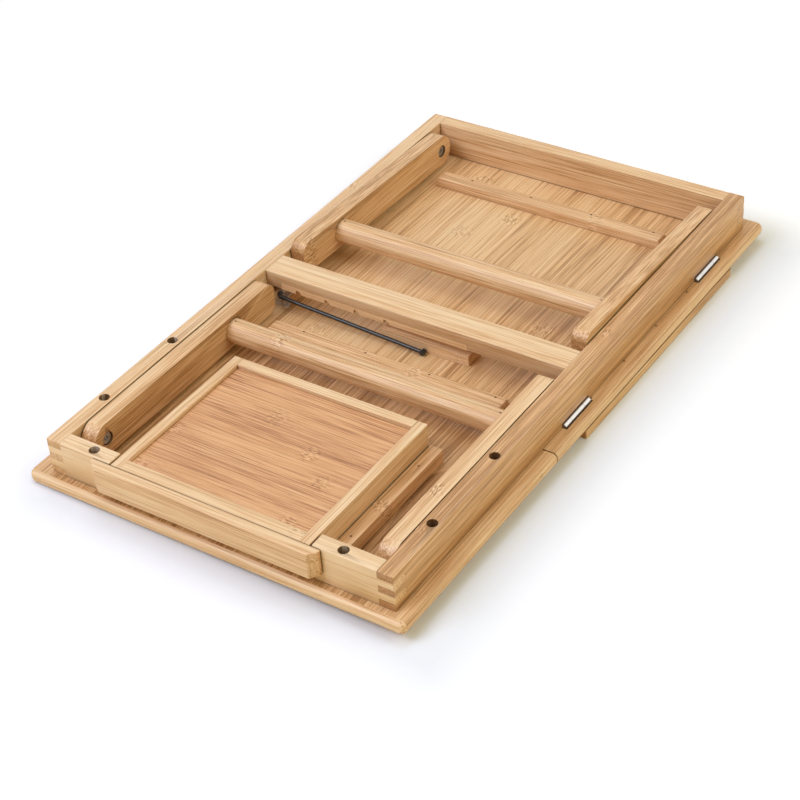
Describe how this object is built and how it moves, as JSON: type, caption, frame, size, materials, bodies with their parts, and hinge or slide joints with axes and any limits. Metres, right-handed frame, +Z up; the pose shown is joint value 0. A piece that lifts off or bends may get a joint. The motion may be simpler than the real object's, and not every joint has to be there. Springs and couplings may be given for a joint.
{
  "type": "folding laptop table",
  "caption": "Bamboo lap table shown face down: legs folded into its frame, a tilting top panel with a wire stay, and a small drawer.",
  "frame": {"origin": "under the middle of the closed table, on the plane that its stop ledge touches when it lies face down", "axes": "+X along the table from the drawer end to the far end, +Y from the hinge side to the back, +Z up, which is away from the tabletop's show face"},
  "size_m": [0.502, 0.302, 0.0506],
  "materials": {
    "bamboo_pale": "satin lacquer",
    "bamboo_frame": "satin lacquer",
    "bamboo_red": "satin lacquer",
    "bright_steel": "nickel plated",
    "grey_steel": "zinc plated",
    "black_wire": "gloss black",
    "black_cap": "satin"
  },
  "bodies": {
    "frame": {"rail_back": "bamboo_frame", "rail_front": "bamboo_frame", "rail_stub_back": "bamboo_frame", "rail_stub_front": "bamboo_frame", "rail_far": "bamboo_frame", "cross_rail": "bamboo_frame", "ratchet_strip": "bamboo_pale", "fixed_core": "bamboo_pale", "fixed_end_band": "bamboo_pale", "fixed_lip_front": "bamboo_pale", "fixed_lip_back": "bamboo_pale", "panel_screws": "grey_steel", "runner_back": "bamboo_pale", "runner_front": "bamboo_pale", "runner_brads": "grey_steel", "pivot_screws": "grey_steel", "pivot_washers": "bright_steel", "hinge_a_rail_leaf": "bright_steel", "hinge_b_rail_leaf": "bright_steel", "hinge_pins": "bright_steel", "hinge_screws_rail": "bright_steel"},
    "tilt_panel": {"tilt_core": "bamboo_pale", "tilt_end_band": "bamboo_pale", "tilt_lip_front": "bamboo_pale", "tilt_lip_back": "bamboo_pale", "batten_near": "bamboo_pale", "batten_far": "bamboo_pale", "batten_brads": "grey_steel", "stay_block": "bamboo_pale", "stop_ledge": "bamboo_pale", "ledge_brads": "grey_steel", "hinge_a_panel_leaf": "bright_steel", "hinge_b_panel_leaf": "bright_steel", "hinge_screws_panel": "bright_steel", "stay_pad": "bamboo_pale", "stay_clip": "grey_steel", "clip_screws": "bright_steel"},
    "stay": {"stay_wire": "black_wire", "stay_cap": "black_cap"},
    "near_legs": {"leg_near_back": "bamboo_pale", "leg_near_front": "bamboo_pale", "dowel_near": "bamboo_pale", "dowel_near_brads": "grey_steel"},
    "far_legs": {"leg_far_back": "bamboo_pale", "leg_far_front": "bamboo_pale", "dowel_far": "bamboo_pale", "dowel_far_brads": "grey_steel"},
    "drawer": {"drawer_front": "bamboo_pale", "drawer_side_back": "bamboo_pale", "drawer_side_front": "bamboo_pale", "drawer_near_wall": "bamboo_pale", "drawer_rear_wall": "bamboo_pale", "drawer_bottom": "bamboo_red", "drawer_screws": "bright_steel"}
  },
  "joints": [
    {"name": "panel_tilt", "type": "hinge", "parent": "frame", "child": "tilt_panel", "pos_m": [0.076, -0.1403, 0.016], "axis": [-1, 0, 0], "range_deg": [0, 28]},
    {"name": "stay_swing", "type": "hinge", "parent": "tilt_panel", "child": "stay", "pos_m": [0, 0.1135, 0.02598], "axis": [-1, 0, 0], "range_deg": [0, 68.4]},
    {"name": "near_leg_fold", "type": "hinge", "parent": "frame", "child": "near_legs", "pos_m": [-0.211, -0.00225, 0.0312], "axis": [0, -1, 0], "range_deg": [0, 90]},
    {"name": "far_leg_fold", "type": "hinge", "parent": "frame", "child": "far_legs", "pos_m": [0.206, -0.00225, 0.0312], "axis": [0, 1, 0], "range_deg": [-2.2, 87.8]},
    {"name": "drawer_slide", "type": "slide", "parent": "frame", "child": "drawer", "axis": [-1, 0, 0], "range_m": [0, 0.1]}
  ],
  "couplings": [
    {"joint": "stay_swing", "follows": "panel_tilt", "ratio": 2.44}
  ]
}
